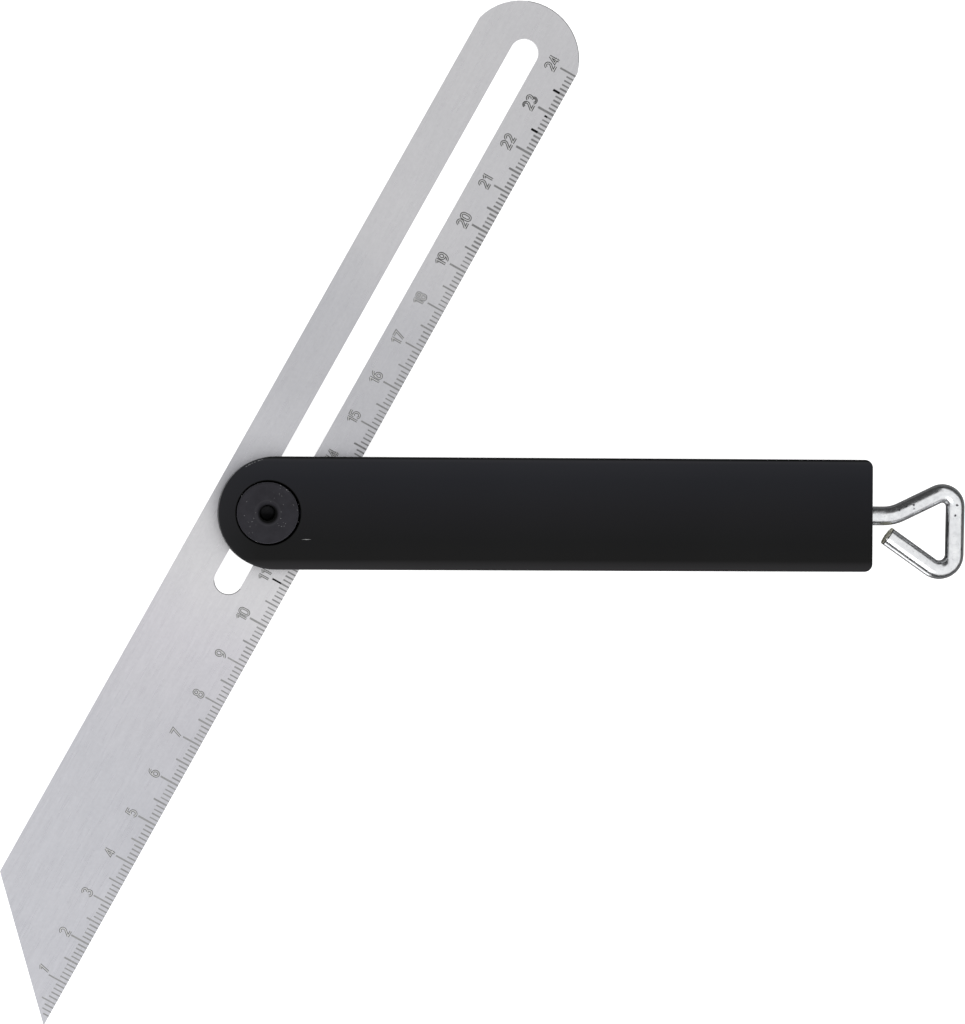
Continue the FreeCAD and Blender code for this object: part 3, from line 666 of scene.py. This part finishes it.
def handle_wear():
    """A short light scratch below the disc, and chipped light specks along the nose."""
    shape = bmesh.new()
    fleck(shape, 8.50, -5.77, HANDLE_FACE, 1.10, 0.080, 0.0)
    for degrees in (104, 106.5, 108, 112, 115, 117.5, 119, 122):
        turn = math.radians(degrees)
        reach = NOSE_WEAR_RADIUS + rng.uniform(-0.06, 0.02)
        fleck(shape, NOSE_X + reach * math.cos(turn), reach * math.sin(turn), HANDLE_FACE,
              rng.uniform(0.12, 0.24), 0.065, turn + math.pi / 2)
    new_piece("handle_wear", shape, etched("scratch_grey", 0.30),
              "handle")


def disc_wear():
    """Small bright nicks on the disc's face: near its rim, and round its eye."""
    shape = bmesh.new()
    for x, y, half_length, half_width, degrees in NICKS:
        fleck(shape, x, y, DISC_FACE, half_length, half_width, math.radians(degrees))
    new_piece("disc_wear", shape, etched("nick_grey", 0.34), "pivot")


def stud_heads():
    """The stud's two ends, hammered over into low domes that sit a little off its axis."""
    shape = bmesh.new()
    for crown, side in ((FRONT_CROWN, 1), (BACK_CROWN, -1)):
        profile = [(radius, side * z) for radius, z in HEAD_PROFILE]
        rings = lathe(shape, Vector((HEAD_X, HEAD_Y, crown)), profile, 40)
        shape.faces.new(rings[-1])
        shape.faces.new(rings[0][::-1])
    new_piece("stud_heads", shape, hammered_head(), "pivot")


def key_end():
    """The sheared free end of the wire: a slanted rough face with a small burr."""
    centre = Vector(WIRE_END)
    out = Vector((math.cos(WIRE_END_TURN), math.sin(WIRE_END_TURN), 0))
    across = Vector((-out.y, out.x, 0))
    sides = 36
    burrs = (19, 20, 25, 33)
    shape = bmesh.new()
    root, rim = [], []
    for k in range(sides):
        turn = 2 * math.pi * k / sides
        spoke = across * math.cos(turn) + Vector((0, 0, math.sin(turn)))
        reach = WIRE_RADIUS * (1 + rng.uniform(-0.012, 0.010)) + (0.10 if k in burrs else 0)
        lift = 0.12 - 0.12 * math.sin(turn) + rng.uniform(0.0, 0.08)
        root.append(shape.verts.new((centre + spoke * (WIRE_RADIUS + 0.02) - out * 0.30) * MM))
        rim.append(shape.verts.new((centre + spoke * reach + out * lift) * MM))
    hub = shape.verts.new((centre + out * 0.14) * MM)
    join_rings(shape, root, rim)
    for k in range(sides):
        shape.faces.new((rim[k], rim[(k + 1) % sides], hub))
    shape.faces.new(root[::-1])
    new_piece("key_end", shape, sheared_steel(), "key")


# Screws: their place, radius and height of each ring, and the cross recess.
SCREW_X, SCREW_Y, SCREW_FOOT = 131.175, 7.5, 0.1
SCREW_PROFILE = ((1.82, 0.0), (1.9, 0.05), (1.1, 0.85), (1.1, 13.4), (0.5, 14.0))
CROSS_ARM, CROSS_REACH = 0.28, 1.12
CROSS_DEPTH, CROSS_TAPER = 1.0, 0.55


def screws():
    """The two countersunk screws with their cross recesses."""
    arm, reach = CROSS_ARM, CROSS_REACH
    cross = [(reach, -arm), (reach, arm), (arm, arm), (arm, reach), (-arm, reach), (-arm, arm),
             (-reach, arm), (-reach, -arm), (-arm, -arm), (-arm, -reach), (arm, -reach),
             (arm, -arm)]
    shape = bmesh.new()
    for y, turn in ((SCREW_Y, 0.4), (-SCREW_Y, 1.1)):
        centre = Vector((SCREW_X, y, SCREW_FOOT))
        rings = lathe(shape, centre, SCREW_PROFILE, 48)
        shape.faces.new(rings[-1])
        mouth, floor = [], []
        for a, b in cross:
            spot = Vector((a * math.cos(turn) - b * math.sin(turn),
                           a * math.sin(turn) + b * math.cos(turn), 0))
            mouth.append(shape.verts.new((centre + spot) * MM))
            floor.append(shape.verts.new(
                (centre + spot * CROSS_TAPER + Vector((0, 0, CROSS_DEPTH))) * MM))
        edges = []
        for ring in (rings[0], mouth):
            for k, vert in enumerate(ring):
                after = ring[(k + 1) % len(ring)]
                edges.append(shape.edges.get((vert, after)) or shape.edges.new((vert, after)))
        bmesh.ops.triangle_fill(shape, edges=edges, use_beauty=True)
        join_rings(shape, mouth, floor)
        shape.faces.new(floor)
    piece = new_piece("screws_with_recess", shape, materials["screw_steel"],
                      "handle")
    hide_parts("handle_screws")


opening_lip()
handle_wear()
disc_wear()
stud_heads()
key_end()
screws()


# Stage, light and camera. Numbers from here on are in metres.

FLOOR_SIZE = 6.0
FLOOR_Z = -0.00005
FLOOR_GREY = 0.80
# Dark cards round the key's loop give its bright wire the dark lines of a studio shot.
LOOP_X, LOOP_Y, LOOP_Z = 0.148, -0.004, 0.01325
CARD_REACH = 0.080
LOW_CARD_Z = -0.00002
LOW_CARD_INNER = 0.0265
# The cards have a window between two directions in degrees, above a sill.
WINDOW = (212, 257)
WINDOW_SILL = 0.0085


def staged(name, points, faces, material):
    """A mesh that belongs to the stage and not to the object."""
    mesh = bpy.data.meshes.new(name)
    mesh.from_pydata(points, [], faces)
    mesh.materials.append(material)
    made = bpy.data.objects.new(name, mesh)
    bpy.context.scene.collection.objects.link(made)
    return made


def pale_floor():
    """A floor that keeps the object's shadow and shows white to the camera and in reflections."""
    m = new_material("floor_white")
    path = m.add("LightPath")
    seen = m.math("MAXIMUM", path.outputs["Is Camera Ray"], path.outputs["Is Glossy Ray"])
    seen = m.math("MAXIMUM", seen, path.outputs["Is Transmission Ray"])
    paper = m.add("BsdfDiffuse")
    mottle = m.noise(m.coordinates(), 0.01, 2)
    m.link(m.ramp(mottle, [(0.3, FLOOR_GREY - 0.02), (0.7, FLOOR_GREY)]), paper.inputs["Color"])
    glow = m.add("Emission")
    glow.inputs["Color"].default_value = (1, 1, 1, 1)
    m.link(m.math("MULTIPLY", seen, FLOOR_GREY), glow.inputs["Strength"])
    both = m.add("AddShader")
    m.link(paper.outputs["BSDF"], both.inputs[0])
    m.link(glow.outputs["Emission"], both.inputs[1])
    m.link(both.outputs["Shader"], m.output.inputs["Surface"])
    half = FLOOR_SIZE / 2
    points = [(x * half, y * half, FLOOR_Z) for x, y in ((-1, -1), (1, -1), (1, 1), (-1, 1))]
    staged("floor", points, [(0, 1, 2, 3)], m.owner)


def round_loop(degrees, reach, z):
    """A point round the key's loop."""
    turn = math.radians(degrees)
    return (LOOP_X + reach * math.cos(turn), LOOP_Y + reach * math.sin(turn), z)


def reflected_card(name, rows, shade, faces=()):
    """A strip of quads through pairs of points, with further faces, that only reflections see."""
    m = new_material(name)
    matt = m.add("BsdfDiffuse")
    matt.inputs["Color"].default_value = (shade, shade, shade, 1)
    m.link(matt.outputs["BSDF"], m.output.inputs["Surface"])
    points = [point for row in rows for point in row]
    strip = [(2 * k, 2 * k + 1, 2 * k + 3, 2 * k + 2) for k in range(len(rows) - 1)]
    card = staged(name, points, strip + list(faces), m.owner)
    card.visible_camera = False
    card.visible_diffuse = False
    card.visible_shadow = False
    card.visible_transmission = False


def ring_card():
    """A wall round the loop, open where the handle stands, higher across the loop's third leg."""
    rows = []
    for degrees in range(-165, 161, 5):
        rise = math.radians(14 + 14 * abs(math.cos(math.radians(degrees - 55))) ** 3)
        in_window = WINDOW[0] - 360 < degrees < WINDOW[1] - 360
        rows.append((round_loop(degrees, CARD_REACH, WINDOW_SILL if in_window else 0.0),
                     round_loop(degrees, CARD_REACH, LOOP_Z + CARD_REACH * math.tan(rise))))
    reflected_card("ring_card", rows, 0.09)


def low_card():
    """A sheet just above the floor, with one curved window."""
    rows = []
    sides, window_sides = 40, 8
    for k in range(sides + 1):
        degrees = WINDOW[1] + (360 + WINDOW[0] - WINDOW[1]) * k / sides
        rows.append((round_loop(degrees, LOW_CARD_INNER, LOW_CARD_Z),
                     round_loop(degrees, CARD_REACH, LOW_CARD_Z)))
    for k in range(window_sides + 1):
        degrees = WINDOW[0] + (WINDOW[1] - WINDOW[0]) * k / window_sides
        rows.append((round_loop(degrees, LOW_CARD_INNER, LOW_CARD_Z),
                     round_loop(degrees, 0, LOW_CARD_Z)))
    middle = tuple(range(0, 2 * sides + 2, 2))
    reflected_card("low_card", rows, 0.20, [middle])


def side_card():
    """A tall card behind the loop."""
    rows = [((0.099, 0.028, 0.0), (0.099, 0.028, 0.045)),
            ((0.153, 0.054, 0.0), (0.153, 0.054, 0.140))]
    reflected_card("side_card", rows, 0.09)


def studio_world():
    """White to the camera and in reflections, and a little less as light on the object."""
    world = Nodes(bpy.data.worlds.new("studio"), "OutputWorld")
    path = world.add("LightPath")
    seen = world.math("MAXIMUM", path.outputs["Is Camera Ray"], path.outputs["Is Glossy Ray"])
    background = world.add("Background")
    background.inputs["Color"].default_value = (1, 1, 1, 1)
    world.link(world.remap(seen, 0.0, 1.0, 0.75, 1.0), background.inputs["Strength"])
    world.link(background.outputs["Background"], world.output.inputs["Surface"])
    bpy.context.scene.world = world.owner


def soft_light(name, place, aim, size, power):
    data = bpy.data.lights.new(name, "AREA")
    data.shape = "DISK"
    data.size = size
    data.energy = power
    lamp = bpy.data.objects.new(name, data)
    lamp.location = place
    lamp.rotation_euler = (Vector(aim) - Vector(place)).to_track_quat("-Z", "Y").to_euler()
    bpy.context.scene.collection.objects.link(lamp)


pale_floor()
ring_card()
low_card()
side_card()
studio_world()
soft_light("key_light", (-0.5, -1.0, 1.3), (0.02, 0, 0), 1.0, 7)

# The focal length was fitted in pixels of the photo, which is 1024 pixels high.
SENSOR = 36
FOCAL_PIXELS = 4489.6
PHOTO_HEIGHT = 1024
camera_data = bpy.data.cameras.new("camera")
camera_data.sensor_width = SENSOR
camera_data.lens = SENSOR * FOCAL_PIXELS / PHOTO_HEIGHT
camera_data.clip_start = 0.01
camera_data.clip_end = 20
camera = bpy.data.objects.new("camera", camera_data)
camera.location = (-0.0331, 0.00352, 1.0)
camera.rotation_euler = (-0.003545, -0.081465, 0.005213)
bpy.context.scene.collection.objects.link(camera)
bpy.context.scene.camera = camera
bpy.context.scene.view_settings.view_transform = "Standard"
